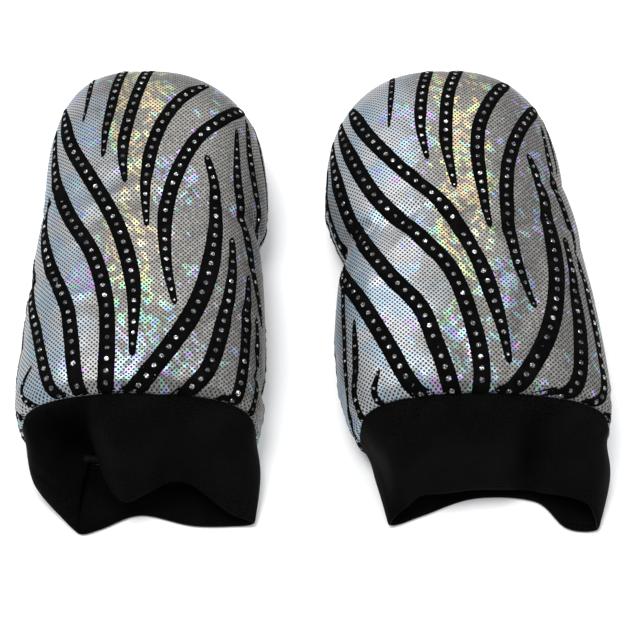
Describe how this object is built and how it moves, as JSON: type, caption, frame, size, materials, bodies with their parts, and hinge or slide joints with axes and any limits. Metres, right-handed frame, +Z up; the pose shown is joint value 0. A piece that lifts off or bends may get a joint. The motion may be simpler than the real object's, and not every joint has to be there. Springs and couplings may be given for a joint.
{
  "type": "pair of stirrup covers",
  "caption": "Pair of slip-on padded stirrup covers, each a round-ended bag with a folded stretch cuff at its mouth.",
  "frame": {"origin": "on the ground, in the middle of the pair's box", "axes": "+X from the left cover to the right one, +Y from the cuffs to the closed round ends, +Z up"},
  "size_m": [0.3316, 0.2988, 0.066],
  "materials": {
    "foil_cloth": "foil-dot stretch cloth, satin",
    "fleece": "short matt fleece",
    "seam_thread": "overlock thread over cloth edges",
    "cuff_knit": "smooth stretch knit"
  },
  "bodies": {
    "left_cover": {"left_top_panel": "foil_cloth", "left_bottom_panel": "foil_cloth", "left_top_lining": "fleece", "left_bottom_lining": "fleece", "left_side_seam": "seam_thread", "left_mouth_roll": "seam_thread", "left_cuff_seam": "seam_thread", "left_cuff_band": "cuff_knit"},
    "right_cover": {"right_top_panel": "foil_cloth", "right_bottom_panel": "foil_cloth", "right_top_lining": "fleece", "right_bottom_lining": "fleece", "right_side_seam": "seam_thread", "right_mouth_roll": "seam_thread", "right_cuff_seam": "seam_thread", "right_cuff_band": "cuff_knit"}
  },
  "joints": [
    {"name": "right_cover_lift", "type": "slide", "parent": "left_cover", "child": "right_cover", "axis": [0, 0, 1], "range_m": [0, 0.12]}
  ]
}
